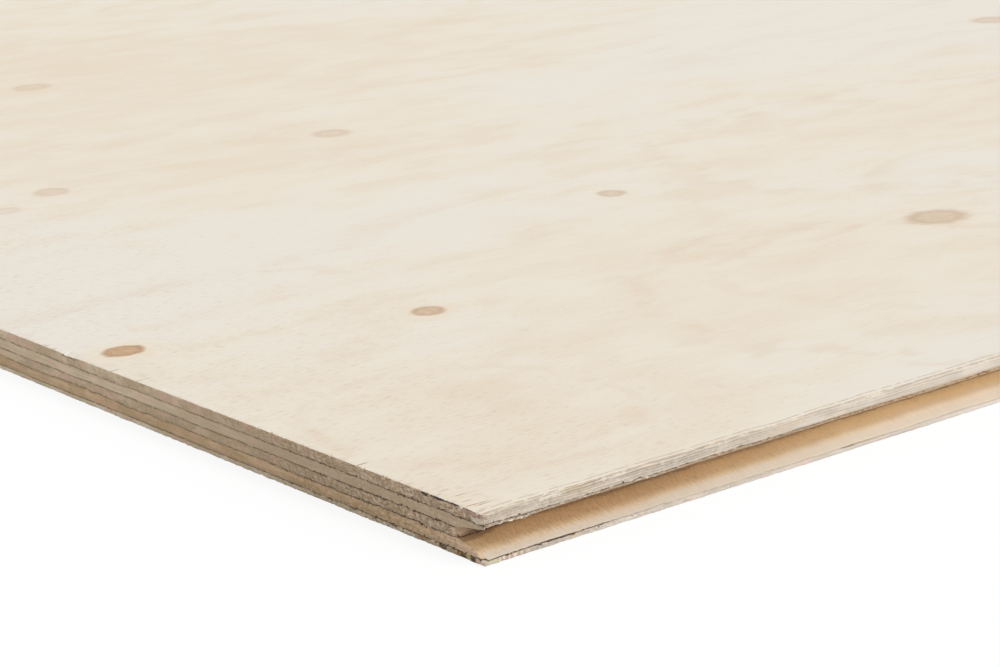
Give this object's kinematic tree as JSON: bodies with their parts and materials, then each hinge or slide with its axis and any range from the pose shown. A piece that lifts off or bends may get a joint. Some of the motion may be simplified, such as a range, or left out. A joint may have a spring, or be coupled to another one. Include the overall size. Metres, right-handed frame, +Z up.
{
  "type": "plywood sheet",
  "caption": "Flat plywood sheet of cross-laid softwood veneers, cut square at the ends, with a groove milled along one long edge and a tongue along the other.",
  "frame": {"origin": "middle of the sheet's underside", "axes": "+X along the sheet and the grain of its face, +Y across it from the grooved long edge to the tongued one, +Z up, out of the face"},
  "size_m": [2.44, 1.22, 0.015],
  "materials": {
    "face_veneer": "matte",
    "upper_crossband": "matte",
    "core_veneer": "matte",
    "lower_crossband": "matte",
    "back_veneer": "matte"
  },
  "bodies": {
    "root": {"face_veneer": "face_veneer", "upper_crossband": "upper_crossband", "core_veneer": "core_veneer", "lower_crossband": "lower_crossband", "back_veneer": "back_veneer"}
  },
  "joints": []
}
